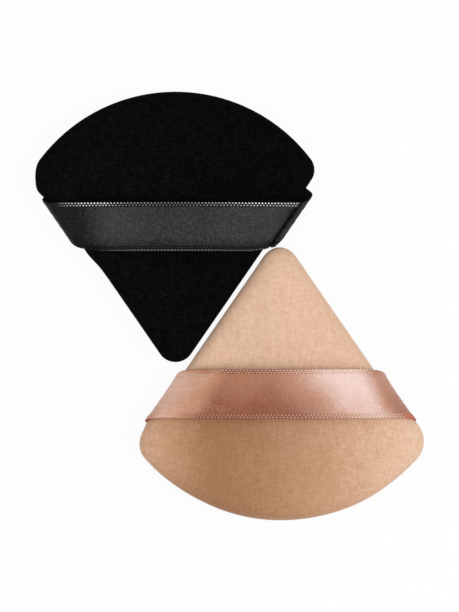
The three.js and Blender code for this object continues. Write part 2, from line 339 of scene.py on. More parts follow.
# Slanting plies of a twisted thread
def makeThreadTwist():
    group, given = newGroup("threadTwist", {"Ply Spacing": 0.28 * mm})
    parts = separated(group, given["Vector"])
    slant = plus(group, parts["X"], parts["Y"], parts["Z"])
    phase = maths(group, "DIVIDE", slant, given["Ply Spacing"])
    wave = maths(group, "SINE", times(group, phase, 2 * math.pi))
    ply = maths(group, "MULTIPLY_ADD", wave, 0.5, 0.5)
    fuzz = noise(group, given["Vector"], mm / 6)
    height = plus(group, ply, times(group, fuzz, 0.4))
    return closeGroup(group, {"Ply": ply, "Height": height})


velourNap = makeVelourNap()
satinWeave = makeSatinWeave()
threadTwist = makeThreadTwist()


# The shape of a puff

halfAngle = math.radians(34.6)  # between the middle line and a straight side
sine, cosine, tangent = math.sin(halfAngle), math.cos(halfAngle), math.tan(halfAngle)

padShape = {
    "thickness": 11 * mm,
    "seamHeight": 5.25 * mm,
    "edgeRoll": 4.5 * mm,  # how far inside the outline its rings keep the outline's shape
    "crownPower": 8,
    "rounding": 0.6,  # how far the outline turns into a circle towards the middle
    "cornerEase": 0.5,  # how much of an inset comes off a corner's radius
    "cornerLeast": 0.2,  # share of its radius that a corner keeps
    "velour": 1.2 * mm,
    "allowance": 3 * mm,
    "foldTop": 1.4 * mm,  # above the seam, where the velour has turned upright
    "openSlot": 0.2 * mm,  # half the gap where the ribbon passes
    "shutSlot": 0.05 * mm,
    "slotReach": 9.5 * mm,  # how far the gap stays open to each side of the ribbon's middle
    "pinch": 0.35 * mm,  # how far the ribbon draws the edge in
    "pinchAlong": 6 * mm,
    "pinchInward": 5 * mm,
    "waveHeight": 0.09 * mm,
    "waveStart": 3 * mm,  # above the folds, where the waves have their full height
    "outlineSteps": {"tip": 10, "side": 62, "shoulder": 16, "wide": 46},
    "foamSteps": {"tip": 5, "side": 24, "shoulder": 8, "wide": 20},
    "outerRings": (26, 16),  # over the crown and over the roll of the edge
    "innerRings": (8, 5),
    "foldRings": 8,
}
crownHeight = padShape["thickness"] - padShape["seamHeight"]  # above the seam

blackPuff = {
    "name": "black",
    "sign": -1,  # it is turned by half, so its tip points down
    "length": 71.2 * mm,
    "wideRadius": 42.4 * mm,
    "tipRadius": 4.7 * mm,
    "shoulderRadius": 4.4 * mm,
    "ribbonDrop": 37.33 * mm,  # from where its sides meet to the ribbon's middle
    "loopRise": 4.0 * mm,
    "waveShift": 1.3,
    # At each end of the ribbon: how far it bulges out and its two corners flare beyond that,
    # how far it drifts along the side, its lower layer slips on, its tip side is drawn in and
    # its wide corner is spread out, how deep it is creased, and how much red painted shade its wide
    # corner gets
    "rightEnd": {
        "bulge": 2.5 * mm, "flare": (0, 0), "drift": 0.9 * mm, "slip": 0.4 * mm,
        "tuck": 2.4 * mm, "spread": 0, "crease": 0.4 * mm, "cornerShade": 0,
    },
    "leftEnd": {
        "bulge": 2.6 * mm, "flare": (0, 0), "drift": 2.25 * mm, "slip": 0.6 * mm,
        "tuck": 2.5 * mm, "spread": 0, "crease": 1.0 * mm, "cornerShade": 0,
    },
    # Where the pad bulges, in mm: the place, how far round it the bulge reaches, and its push
    "bulges": [
        ((32.7, -45.3), 4.25, (2.85, 0)),
        ((21.5, -30.9), 3.6, (0.9, 0)),
        ((-32.5, -46), 4, (-0.3, 0)),
    ],
}
nudePuff = {
    "name": "nude",
    "sign": 1,
    "length": 71.8 * mm,
    "wideRadius": 44.7 * mm,
    "tipRadius": 5.1 * mm,
    "shoulderRadius": 5.2 * mm,
    "ribbonDrop": 40.0 * mm,
    "loopRise": 4.7 * mm,
    "waveShift": 0.2,
    "rightEnd": {
        "bulge": 1.4 * mm, "flare": (0.4 * mm, 0.3 * mm), "drift": 0.5 * mm, "slip": 0.6 * mm,
        "tuck": 1.2 * mm, "spread": 0.1 * mm, "crease": 0.1 * mm, "cornerShade": 0.85,
    },
    "leftEnd": {
        "bulge": 1.0 * mm, "flare": (0.25 * mm, 0.3 * mm), "drift": 0.7 * mm, "slip": 0.4 * mm,
        "tuck": 1.3 * mm, "spread": 0.15 * mm, "crease": 0.1 * mm, "cornerShade": 0.45,
    },
    "bulges": [
        ((0, -4), 3.5, (0, 0.35)),
        ((33.7, -47), 4, (1.35, 0)),
        ((33.5, -53), 9, (0.6, 0)),
        ((-33, -46.5), 3, (-0.8, 0)),
        ((-35, -51.5), 4, (0.18, 0)),
        ((-22, -66), 12, (0.1, 0.25)),
        ((22, -66), 12, (0.1, -0.25)),
    ],
}
puffs = [blackPuff, nudePuff]

for puff in puffs:
    low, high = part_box(puff["name"] + "_front_cover")
    cornerY = high.y - puff["length"] if puff["sign"] < 0 else low.y + puff["length"]
    puff["corner"] = np.array([(low.x + high.x) / 2, cornerY, 0.0])  # where its sides meet
    # The circle that touches both sides and the middle of the wide edge
    puff["reach"] = puff["length"] * sine / (1 + sine)
    puff["middle"] = np.array([0, -puff["length"] / (1 + sine)])


# From the puff's own frame, with its side corner at the origin, to the table's
def inPlace(puff, points):
    return np.asarray(points, float) * (puff["sign"], puff["sign"], 1.0) + puff["corner"]


def cornerRadius(radius, inset):
    return max(radius - inset * padShape["cornerEase"], radius * padShape["cornerLeast"])


def arcPoints(centre, radius, start, end, steps):
    angles = np.linspace(start, end, steps + 1)
    return np.column_stack([centre[0] + radius * np.cos(angles), centre[1] + radius * np.sin(angles)])


# The closed outline, clockwise from the tip, with every side moved in by inset
def outline(puff, inset, steps):
    tipRadius = cornerRadius(puff["tipRadius"], inset)
    tipCentre = (0, -(inset + tipRadius) / sine)
    wideCentre = (0, puff["wideRadius"] - puff["length"])
    # The shoulder's arc touches the straight side and the wide arc
    shoulderRadius = cornerRadius(puff["shoulderRadius"], inset)
    offSide = inset + shoulderRadius
    reach = puff["wideRadius"] - offSide
    depth = -wideCentre[1] - offSide / sine
    root = (depth / tangent) ** 2 - (depth**2 - reach**2) / sine**2
    across = sine**2 * (depth / tangent + math.sqrt(root))
    shoulder = (across, -(offSide + across * cosine) / sine)
    turn = math.atan2(shoulder[1] - wideCentre[1], shoulder[0] - wideCentre[0])
    tip = arcPoints(tipCentre, tipRadius, math.pi / 2, halfAngle, steps["tip"])
    corner = arcPoints(shoulder, shoulderRadius, halfAngle, turn, steps["shoulder"])
    wide = arcPoints(wideCentre, puff["wideRadius"] - inset, turn, -math.pi / 2, steps["wide"])
    shares = np.arange(1, steps["side"])[:, None] / steps["side"]
    side = tip[-1] + (corner[0] - tip[-1]) * shares
    right = np.vstack([tip, side, corner, wide[1:]])
    return np.vstack([right, right[1:-1][::-1] * (-1, 1)])


# A ring of points; draw takes it from the outline (0) to the middle (1)
def ring(puff, inset, draw, height, steps):
    spokes = outline(puff, inset, steps) - puff["middle"]
    length = np.linalg.norm(spokes, axis=1)
    target = length + (puff["reach"] - inset - length) * draw * padShape["rounding"]
    flat = puff["middle"] + spokes * (target / length * (1 - draw))[:, None]
    return np.column_stack([flat, np.full(len(flat), height)])


def swell(low, high, share):
    share = np.clip(share, 0, 1)
    return low + (high - low) * np.sqrt(1 - (1 - share) ** padShape["crownPower"])


# Rings of a domed surface, from near the middle out to its edge, or to start inside that.
# surface is the edge's inset, the lowest and highest height, and how much lower it all lies.
def domeRings(puff, surface, counts, steps, start=None):
    edge, low, high, drop = surface
    start = edge if start is None else start
    span = puff["reach"] - edge
    rolled = padShape["edgeRoll"]
    rings = []
    for draw in np.linspace(1, 0, counts[0] + 1)[1:]:
        share = (rolled + draw * (puff["reach"] - rolled) - edge) / span
        rings.append(ring(puff, rolled, draw, swell(low, high, share) - drop, steps))
    for part in (np.linspace(1, 0, counts[1] + 1)[1:]) ** 2:
        inset = start + part * (rolled - start)
        rings.append(ring(puff, inset, 0, swell(low, high, (inset - edge) / span) - drop, steps))
    return rings


# How far along the slanted side the middle of the ribbon goes into the seam
def ribbonEntry(puff, end):
    moved = end["drift"] + end["slip"] + end["tuck"] / 2
    return puff["ribbonDrop"] / cosine + end["bulge"] * tangent + moved


# For the ribbon's right and left end: the sign of x there, how far along the side each point
# is from where the ribbon goes in, and how far outside the side
def fromEnds(puff, points):
    for sign, end in ((1, puff["rightEnd"]), (-1, puff["leftEnd"])):
        along = sign * points[:, 0] * sine - points[:, 1] * cosine
        out = sign * points[:, 0] * cosine + points[:, 1] * sine
        yield sign, along - ribbonEntry(puff, end), out


# Half the gap of the seam: open where the ribbon passes, else nearly shut
def seamSlots(puff, points):
    slots = np.full(len(points), padShape["shutSlot"])
    for sign, away, out in fromEnds(puff, points):
        onSide = np.clip(sign * points[:, 0] / mm, 0, 1)
        opened = np.exp(-((away / padShape["slotReach"]) ** 4)) * onSide
        slots += (padShape["openSlot"] - padShape["shutSlot"]) * opened
    return slots


# The section of a cover as rings, heights counted from the seam
def coverRings(puff):
    steps = padShape["outlineSteps"]
    thick, top = padShape["velour"], padShape["foldTop"]
    rings = domeRings(puff, (0, top, crownHeight, 0), padShape["outerRings"], steps)
    slots = seamSlots(puff, rings[-1])
    for angle in np.linspace(0, math.pi / 2, padShape["foldRings"] + 1)[1:]:
        heights = top - (top - slots) * math.sin(angle)
        rings.append(ring(puff, thick * (1 - math.cos(angle)), 0, heights, steps))
    inner = thick + padShape["allowance"]
    for inset, heights in ((inner, slots), (inner, top), (thick, top)):
        rings.append(ring(puff, inset, 0, heights, steps))
    wall = domeRings(puff, (thick, top, crownHeight - thick, 0), padShape["innerRings"], steps)
    return rings + wall[::-1]


# Points and faces of a closed surface through rings, with a pole at each end
def loft(rings, poleHeights, middle):
    count = len(rings[0])
    points = [*np.vstack(rings)]
    faces = []
    for band in range(len(rings) - 1):
        upper, lower = band * count, (band + 1) * count
        for i in range(count):
            j = (i + 1) % count
            faces.append((upper + i, upper + j, lower + j, lower + i))
    first, last, base = len(points), len(points) + 1, (len(rings) - 1) * count
    points += [np.array([*middle, height]) for height in poleHeights]
    for i in range(count):
        j = (i + 1) % count
        faces.append((first, j, i))
        faces.append((base + i, base + j, last))
    return np.array(points), faces


# Pulls the edge in where the ribbon is sewn in, and for the pad pushes out its bulges
def pinched(puff, points, padded=True):
    moved = points.copy()
    for sign, away, out in fromEnds(puff, points):
        near = np.exp(-((away / padShape["pinchAlong"]) ** 2))
        near *= np.exp(-((out / padShape["pinchInward"]) ** 2)) * padShape["pinch"]
        moved[:, 0] -= sign * near * cosine
        moved[:, 1] -= near * sine
    for place, reach, push in puff["bulges"] if padded else []:
        away = points[:, :2] - np.multiply(place, mm)
        near = np.exp(-np.sum(away**2, axis=1) / (reach * mm) ** 2)
        moved[:, :2] += near[:, None] * np.multiply(push, mm)
    return moved


# Soft filling under velour is never quite even: shallow waves about 40, 16 and 10 mm long
def uneven(puff, points):
    x, y = points[:, 0] / mm, points[:, 1] / mm
    shift = puff["waveShift"]
    wave = np.sin(x * 0.17 + shift) * np.cos(y * 0.13 - shift)
    wave += 0.6 * np.sin(x * 0.31 - y * 0.22 + 2 * shift)
    wave += 0.35 * np.sin(x * 0.47 + y * 0.39 + 3 * shift)
    return wave * padShape["waveHeight"]


# Swelling of the pads, by cloth simulation

swellSetup = {
    "scale": 10,  # cloth is made for larger things, so the pad is simulated this much larger
    "voxel": 10 * mm,  # at that scale
    "rings": (14, 8),
    "pressure": 4,
    "lastFrame": 20,
    "most": 0.8 * mm,  # how far a point of the pad may move
    "backShare": 0.35,  # the powder side is pressed on the table
    "held": (1.2 * mm, 5 * mm),  # inside the edge: held fast up to the first, free from the second
    "freeAbove": 1.5 * mm,  # above the folds, where a cover goes all the way with the pad
    "neighbours": 6,
    "nearest": 0.3 * mm,  # evens out the weights of the neighbours
}


def coordinates(mesh):
    flat = np.zeros(len(mesh.vertices) * 3)
    mesh.vertices.foreach_get("co", flat)
    return flat.reshape(-1, 3)


# The whole pad as one closed shell, heights counted from the seam
def padShell(puff):
    surface = (0, padShape["foldTop"], crownHeight, 0)
    upper = domeRings(puff, surface, swellSetup["rings"], padShape["outlineSteps"])
    rings = upper + [r * (1, 1, -1) for r in upper[::-1]]
    return loft(rings, (crownHeight, -crownHeight), puff["middle"])


# Blows the pad up as cloth that is held along its seam; keeps where each point was and went
def simulateSwelling(puff):
    scale = swellSetup["scale"]
    points, faces = padShell(puff)
    pad = meshObject(puff["name"] + "Swelling", points * scale, faces, None)
    remesh = pad.modifiers.new("remesh", "REMESH")
    remesh.mode = "VOXEL"
    remesh.voxel_size = swellSetup["voxel"]
    graph = bpy.context.evaluated_depsgraph_get()
    even = bpy.data.meshes.new_from_object(pad.evaluated_get(graph))
    pad.modifiers.remove(remesh)
    pad.data = even
    start = coordinates(even) / scale
    edge = outline(puff, 0, padShape["outlineSteps"])
    inset = np.linalg.norm(start[:, None, :2] - edge[None], axis=2).min(axis=1)
    held = pad.vertex_groups.new(name="held")
    for index, weight in enumerate(1 - smoothStep(inset, *swellSetup["held"])):
        held.add([index], float(weight), "REPLACE")
    cloth = pad.modifiers.new("cloth", "CLOTH")
    cloth.settings.vertex_group_mass = "held"
    cloth.settings.use_pressure = True
    cloth.settings.uniform_pressure_force = swellSetup["pressure"]
    cloth.settings.effector_weights.gravity = 0
    cloth.collision_settings.use_collision = False
    cloth.point_cache.frame_end = swellSetup["lastFrame"]
    for number in range(1, swellSetup["lastFrame"] + 1):
        bpy.context.scene.frame_set(number)
    graph = bpy.context.evaluated_depsgraph_get()
    moves = coordinates(pad.evaluated_get(graph).data) / scale - start
    length = np.maximum(np.linalg.norm(moves, axis=1), 1e-9)
    moves *= (swellSetup["most"] * np.tanh(length / swellSetup["most"]) / length)[:, None]
    bpy.data.objects.remove(pad)
    bpy.context.scene.frame_set(1)
    tree = KDTree(len(start))
    for index, point in enumerate(start):
        tree.insert(point, index)
    tree.balance()
    puff["swelling"] = (tree, moves)
    print(puff["name"], "pad swollen:", len(start), "points, most", round(length.max() / mm, 2), "mm")


# How far points near the pad's surface go with it; heights are counted from the seam
def swollen(puff, points):
    moved = np.zeros(points.shape)
    if "swelling" not in puff:
        return moved
    tree, moves = puff["swelling"]
    top = padShape["foldTop"]
    free = smoothStep(np.abs(points[:, 2]), top, top + swellSetup["freeAbove"])
    for index in np.nonzero(free > 0)[0]:
        near = tree.find_n(points[index], swellSetup["neighbours"])
        weights = np.array([1 / (away + swellSetup["nearest"]) for place, which, away in near])
        moved[index] = weights @ moves[[which for place, which, away in near]] / weights.sum()
    moved[points[:, 2] < 0] *= swellSetup["backShare"]
    return moved * free[:, None]


for puff in puffs:
    simulateSwelling(puff)


# Velour covers

velourFinish = {
    "patchSize": 14 * mm,
    "patches": 0.22,  # how much the patches differ
    "warmer": (0.35, 0.7),  # from which to which lay the patches take on the blush
    "pile": 0.12 * mm,
    "black": {
        "tones": ((0.0006, 0.0006, 0.001), (0.0035, 0.0035, 0.004), (0.01, 0.01, 0.0108)),
        "blush": (1, 1, 1),  # what the tones of the warmer patches are multiplied by
        "specular": 0.012,
        "sheen": 0.006,
        "sheenTint": (0.8, 0.82, 0.9),
        # Painted light, where the pile is painted lighter: from, to, and how light at the two. right and
        # left are counted across the puff, and tip along it.
        "right": (-40 * mm, 60 * mm, 0.34, 0.5),
        "left": (-20 * mm, -40 * mm, 0, 0.4),
        "tip": (-49 * mm, -31 * mm, 0, 0.3),
        "strokes": 1.4,
        "tufts": 1.1,
    },
    "nude": {
        "tones": ((0.35, 0.175, 0.085), (0.56, 0.32, 0.19), (0.83, 0.58, 0.415)),
        "blush": (1, 0.97, 0.99),
        "specular": 0.05,
        "sheen": 0.5,
        "sheenTint": (1, 0.9, 0.82),
        # Painted light towards the sides and the tip, as for the black puff
        "right": (-18 * mm, 40 * mm, 0, 0.9),
        "left": (-14 * mm, -40 * mm, 0, 0.75),
        "tip": (-49 * mm, -31 * mm, 0, 0.83),
        "strokes": 0.7,
        "tufts": 0.25,
    },
}


def makeVelour(puff):
    look = velourFinish[puff["name"]]
    finish = {
        "Roughness": 0.95,
        "Specular IOR Level": look["specular"],
        "Sheen Weight": look["sheen"],
        "Sheen Roughness": 0.4,
        "Sheen Tint": look["sheenTint"],
    }
    material, tree, shader = newMaterial(puff["name"] + "Velour", finish)
    sign = puff["sign"]
    turn = {"Scale": (sign, sign, 1), "Location": tuple(-sign * puff["corner"])}
    own = newNode(tree, "ShaderNodeMapping", {"Vector": objectPlace(tree), **turn}).outputs[0]
    nap = placeGroup(tree, velourNap, own, {"Patch Size": velourFinish["patchSize"]})
    parts = separated(tree, own)  # in the puff's own frame
    # Painted light: the pile is painted lighter towards the shoulders and the tip
    paintedLightRight = ranged(tree, parts["X"], *look["right"])
    paintedLightLeft = ranged(tree, parts["X"], *look["left"])
    tip = ranged(tree, parts["Y"], *look["tip"])
    shares = [maths(tree, "MAXIMUM", maths(tree, "MAXIMUM", paintedLightRight, paintedLightLeft), tip)]
    swings = {"Lay": velourFinish["patches"], "Strokes": look["strokes"], "Tufts": look["tufts"]}
    for label, swing in swings.items():
        shares.append(centred(tree, nap[label], swing))
    colour = toned(tree, plus(tree, *shares, clamp=True), look["tones"])
    warmer = ranged(tree, nap["Lay"], *velourFinish["warmer"])
    colour = blended(tree, warmer, colour, look["blush"], "MULTIPLY")
    feedShader(tree, shader, colour, nap["Height"], velourFinish["pile"], strength=0.6)
    return material


# side is 1 for the ribbon side and -1 for the powder side, which is flat where it rests
def makeCover(puff, side, material):
    poles = (crownHeight, crownHeight - padShape["velour"])
    points, faces = loft(coverRings(puff), poles, puff["middle"])
    if side > 0:
        bare = np.clip((points[:, 2] - padShape["foldTop"]) / padShape["waveStart"], 0, 1)
        points[:, 2] += uneven(puff, points) * bare
    else:
        points[:, 2] *= -1
        faces = [face[::-1] for face in faces]
    points = pinched(puff, points) + swollen(puff, points)
    points[:, 2] = np.maximum(points[:, 2] + padShape["seamHeight"], 0)
    name = puff["name"] + ("FrontVelour" if side > 0 else "BackVelour")
    cover = meshObject(name, inPlace(puff, points), faces, material)
    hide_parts(puff["name"] + ("_front_cover" if side > 0 else "_back_cover"))
    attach(cover, "root")


for puff in puffs:
    velour = makeVelour(puff)
    makeCover(puff, 1, velour)
    makeCover(puff, -1, velour)
print("velour covers made")


# Foam

foamSetup = {
    "colour": (0.9, 0.82, 0.66),
    "shade": (0.62, 0.52, 0.36),
    "cell": 0.45 * mm,
    "cellDepth": 0.15 * mm,
    "gap": 0.3 * mm,  # to the velour
    "groove": 0.8 * mm,  # half its height beyond the folds; it takes the seam allowances
    "rings": (8, 5),
}


def makeFoamMaterial():
    material, tree, shader = newMaterial("foam", {"Roughness": 0.9, "Specular IOR Level": 0.2})
    inputs = {"Vector": objectPlace(tree), "Scale": 1 / foamSetup["cell"]}
    cells = newNode(tree, "ShaderNodeTexVoronoi", inputs).outputs["Distance"]
    colour = blended(tree, ranged(tree, cells, 0.1, 0.7), foamSetup["shade"], foamSetup["colour"])
    feedShader(tree, shader, colour, cells, foamSetup["cellDepth"])
    return material


def makeFoam(puff, material):
    thick, top, gap = padShape["velour"], padShape["foldTop"], foamSetup["gap"]
    edge, inside = thick + gap, crownHeight - thick
    slot = top + foamSetup["groove"]
    # Its dome starts where the one inside the velour is as high as the groove and the gap
    risen = (slot + gap - top) / (inside - top)
    share = 1 - (1 - risen**2) ** (1 / padShape["crownPower"])
    start = edge + share * (puff["reach"] - edge)
    steps = padShape["foamSteps"]
    half = domeRings(puff, (edge, top, inside, gap), foamSetup["rings"], steps, start)
    half.append(ring(puff, thick + padShape["allowance"] + gap, 0, slot, steps))
    rings = half + [r * (1, 1, -1) for r in half[::-1]]
    points, faces = loft(rings, (inside - gap, gap - inside), puff["middle"])
    points = pinched(puff, points) + swollen(puff, points)
    points[:, 2] += padShape["seamHeight"]
    foam = meshObject(puff["name"] + "Foam", inPlace(puff, points), faces, material)
    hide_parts(puff["name"] + "_foam_core")
    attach(foam, "root")


foamMaterial = makeFoamMaterial()
for puff in puffs:
    makeFoam(puff, foamMaterial)
print("foam cores made")


# Satin ribbons

ribbonShape = {
    "width": 12.2 * mm,
    "thickness": 0.26 * mm,
    "edgeSlim": 0.35,  # share of its thickness at its long edges
    "restHeight": 11.2 * mm,  # of its middle layer, where it starts to turn down
    "landing": 2.5 * mm,  # inside the edge, where it starts to turn down
    "archPower": 2.4,  # how much steeper the arch is towards its ends
    "knee": 1.3 * mm,  # above the seam, where it bulges most
    "heel": 0.6 * mm,  # inside the edge, where it reaches the seam
    "fullness": (0.55, 0.5),  # of its turn over the edge, at the landing and at the knee
    "camber": 0.4 * mm,  # how much its middle stands above its long edges
    "camberRows": 10,  # beyond the turn, over which it still grows
    "gather": 0.05 * mm,  # small folds where it goes over the edge
    "gatherRows": (-8, 8, 20, 48),  # from the knee up, where they come in and go out
    "creaseAt": 0.9 * mm,  # outside the puff's edge
    "creaseWidth": 0.5 * mm,
    "rimAt": 0.7 * mm,  # inside its bulge
    "rimShare": 0.35,  # height of the rolled rim as a share of the crease's depth
    "shadeTurn": 0.8,  # radians below the knee, where it is fully in shade
    "flareReach": 0.12,  # as a share of its width
    # From the face (0) to the seam (1): where an end drifts, where it slips, and where its wide
    # corner is folded over and stops being so. Across: where that fold spreads and gets red painted
    # shade.
    "drift": (0.35, 0.85),
    "slip": (0.75, 0.97),
    "fold": (0.06, 0.35),
    "foldEnd": (0.85, 1),
    "spread": (0.9, 1),
    "cornerShade": (0.87, 0.95),
    "columns": 41,
    "archRows": 130,
    "upperRows": 34,
    "lowerRows": 16,
    "seamRows": 5,
}
kneeHeight = padShape["seamHeight"] + ribbonShape["knee"]


# The ribbon's way over the edge and into the seam: out, furthest out so far, height without
# its crease, how much painted shade it gets in its crease, round its turn and in the seam, and how far
# the crease moves it up
def foldPath(end, lean, bulge):
    top, landing, heel = ribbonShape["restHeight"], ribbonShape["landing"], ribbonShape["heel"]
    out = bulge - ribbonShape["thickness"] / 2
    startShare, endShare = ribbonShape["fullness"]
    handle = startShare * (out + landing)
    guides = np.array([
        (-landing, top),
        (handle - landing, top - lean * handle),
        (out, kneeHeight + endShare * (top - kneeHeight)),
        (out, kneeHeight),
    ])
    part = np.linspace(0, 1, ribbonShape["upperRows"] + 1)[:-1, None]
    upper = guides[0] * (1 - part) ** 3 + 3 * guides[1] * part * (1 - part) ** 2
    upper = upper + 3 * guides[2] * part**2 * (1 - part) + guides[3] * part**3
    # A crease just outside the edge line, and the rolled rim beyond it
    crease = np.exp(-(((upper[:, 0] - ribbonShape["creaseAt"]) / ribbonShape["creaseWidth"]) ** 2))
    beyond = upper[:, 0] - out + ribbonShape["rimAt"]
    rim = np.exp(-((beyond / ribbonShape["creaseWidth"]) ** 2))
    dip = (ribbonShape["rimShare"] * rim - crease) * end["crease"]
    # Painted shade in the crease
    shade = crease * min(end["crease"] / mm, 1)
    path = [np.column_stack([upper[:, 0], upper[:, 0], upper[:, 1], shade, dip])]
    angles = np.linspace(0, math.pi / 2, ribbonShape["lowerRows"] + 1)[:-1]
    lower = (out + heel) * np.cos(angles) - heel
    heights = kneeHeight - ribbonShape["knee"] * np.sin(angles)
    # Painted shade round the lower turn, and full painted shade in the seam
    shade = smoothStep(angles, 0, ribbonShape["shadeTurn"])
    same = np.ones(len(lower))
    path.append(np.column_stack([lower, same * out, heights, shade, same * 0]))
    inward = np.linspace(-heel, -(padShape["velour"] + padShape["allowance"]), ribbonShape["seamRows"])
    same = np.ones(len(inward))
    path.append(np.column_stack([inward, same * out, same * padShape["seamHeight"], same, same * 0]))
    return np.vstack(path)


# The share of the way from the face down to the seam
def fallen(height):
    top = ribbonShape["restHeight"]
    return np.clip((top - height) / (top - padShape["seamHeight"]), 0, 1)


# Half the arch's length where a column crosses the face
def archReach(puff, share):
    drop = puff["ribbonDrop"] + (share - 0.5) * ribbonShape["width"]
    return drop * tangent - ribbonShape["landing"] / cosine


# Rows from the face into the right seam, each column with its own lean
def foldColumns(puff, end, shares):
    shape = ribbonShape
    half = shape["width"] / (2 * cosine)
    tipFlare, wideFlare = end["flare"]
    columns = []
    for share in shares:
        lean = puff["loopRise"] * shape["archPower"] / (archReach(puff, share) * cosine)
        bulge = end["bulge"] + tipFlare * math.exp(-share / shape["flareReach"])
        bulge += wideFlare * math.exp(-(1 - share) / shape["flareReach"])
        out, reached, height, shade, dip = foldPath(end, lean, bulge).T
        tucked = end["tuck"] * fallen(height)
        height = height + dip
        fell = fallen(height)
        centre = puff["ribbonDrop"] / cosine + reached * tangent
        for move in ("drift", "slip"):
            centre = centre + end[move] * smoothStep(fell, *shape[move])
        along = (centre - half + tucked) * (1 - share) + (centre + half) * share
        # The last of its wide side is folded over; it spreads out there and gets red painted shade
        laid = smoothStep(fell, *shape["fold"]) * (1 - smoothStep(fell, *shape["foldEnd"]))
        along = along + end["spread"] * smoothStep(share, *shape["spread"]) * laid
        shade = np.maximum(shade, end["cornerShade"] * smoothStep(share, *shape["cornerShade"]) * laid)
        flat = [out * cosine + along * sine, out * sine - along * cosine]
        columns.append(np.column_stack([*flat, height, shade]))
    return np.stack(columns, axis=1)


def gridNormals(grid):
    normals = np.cross(np.gradient(grid, axis=1), np.gradient(grid, axis=0))
    return normals / np.maximum(np.linalg.norm(normals, axis=2), 1e-12)[:, :, None]


# The ribbon's middle layer as a grid: rows along it, columns from tip to wide side
def ribbonSurface(puff):
    shares = np.linspace(0, 1, ribbonShape["columns"])
    right = foldColumns(puff, puff["rightEnd"], shares)
    left = (foldColumns(puff, puff["leftEnd"], shares) * (-1, 1, 1, 1))[::-1]
    places = np.linspace(-1, 1, ribbonShape["archRows"] + 2)[1:-1]
    arch = np.zeros((len(places), len(shares), 4))
    arch[:, :, 0] = places[:, None] * archReach(puff, shares)[None, :]
    arch[:, :, 1] = -(puff["ribbonDrop"] + (shares - 0.5) * ribbonShape["width"])[None, :]
    rise = puff["loopRise"] * (1 - np.abs(places) ** ribbonShape["archPower"])
    arch[:, :, 2] = ribbonShape["restHeight"] + rise[:, None]
    rows = np.concatenate([left, arch, right])
    grid, shade = rows[:, :, :3], rows[:, :, 3]
    # Across, the ribbon is slightly domed, less so towards its sewn ends
    index = np.arange(len(grid))
    fromEnd = np.minimum(index, len(grid) - 1 - index)
    knee = ribbonShape["seamRows"] + ribbonShape["lowerRows"]
    free = smoothStep(fromEnd, knee, knee + ribbonShape["upperRows"] + ribbonShape["camberRows"])
    dome = 1 - (2 * shares - 1) ** 2
    grid[:, :, 2] += ribbonShape["camber"] * free[:, None] * dome[None, :]
    # Small gathers, 2.2 and 1.3 mm wide, run over the fold
    inFrom, inTo, outFrom, outTo = (knee + row for row in ribbonShape["gatherRows"])
    gathered = smoothStep(fromEnd, inFrom, inTo) * (1 - smoothStep(fromEnd, outFrom, outTo))
    across = shares * ribbonShape["width"] / mm
    ripple = np.sin(across * 2.9 + 0.6) + 0.7 * np.sin(across * 4.7 + puff["loopRise"] / mm)
    grid += gridNormals(grid) * (ribbonShape["gather"] * gathered[:, None] * ripple[None, :])[:, :, None]
    # Below its bulge it goes to the seam where the edge really runs
    low = np.clip((kneeHeight - grid[:, :, 2]) / ribbonShape["knee"], 0, 1).reshape(-1, 1)
    flat = grid.reshape(-1, 3)
    grid = (flat + (pinched(puff, flat, padded=False) - flat) * low).reshape(grid.shape)
    return grid, shade


# A closed sheet with rounded long edges; its UV map is in metres of ribbon
def thickSheet(name, grid, shade, material):
    rows, columns = grid.shape[:2]
    lengths = np.zeros((rows, columns))
    lengths[1:] = np.cumsum(np.linalg.norm(np.diff(grid, axis=0), axis=2), axis=0)
    length = float(lengths[-1, columns // 2])
    lengths -= lengths[-1] / 2
    across = np.tile(np.linspace(0, ribbonShape["width"], columns), (rows, 1))
    slim = np.full(columns, 1.0)
    slim[[0, -1]] = ribbonShape["edgeSlim"]
    offset = gridNormals(grid) * (ribbonShape["thickness"] / 2 * slim)[None, :, None]
    points = np.vstack([(grid + offset).reshape(-1, 3), (grid - offset).reshape(-1, 3)])
    uv = np.vstack([np.dstack([lengths, across]).reshape(-1, 2)] * 2)
    base = rows * columns
    faces = []
    for r in range(rows - 1):
        for c in range(columns - 1):
            a, b = r * columns + c, r * columns + c + 1
            d, e = a + columns, b + columns
            faces.append((a, b, e, d))
            faces.append((base + a, base + d, base + e, base + b))
        a, d = r * columns, (r + 1) * columns
        faces.append((a, d, base + d, base + a))
        a, d = a + columns - 1, d + columns - 1
        faces.append((base + a, base + d, d, a))
    last = (rows - 1) * columns
    for a in range(columns - 1):
        faces.append((a, a + 1, base + a + 1, base + a))
    for a in range(last, last + columns - 1):
        faces.append((base + a, base + a + 1, a + 1, a))
    sheet = meshObject(name, points, faces, material)
    layer = sheet.data.uv_layers.new(name="ribbonLength")
    corners = np.zeros(len(sheet.data.loops), np.int32)
    sheet.data.loops.foreach_get("vertex_index", corners)
    layer.data.foreach_set("uv", uv[corners].ravel())
    addPointValues(sheet, "sewn", np.tile(shade.ravel(), 2))
    return sheet, length


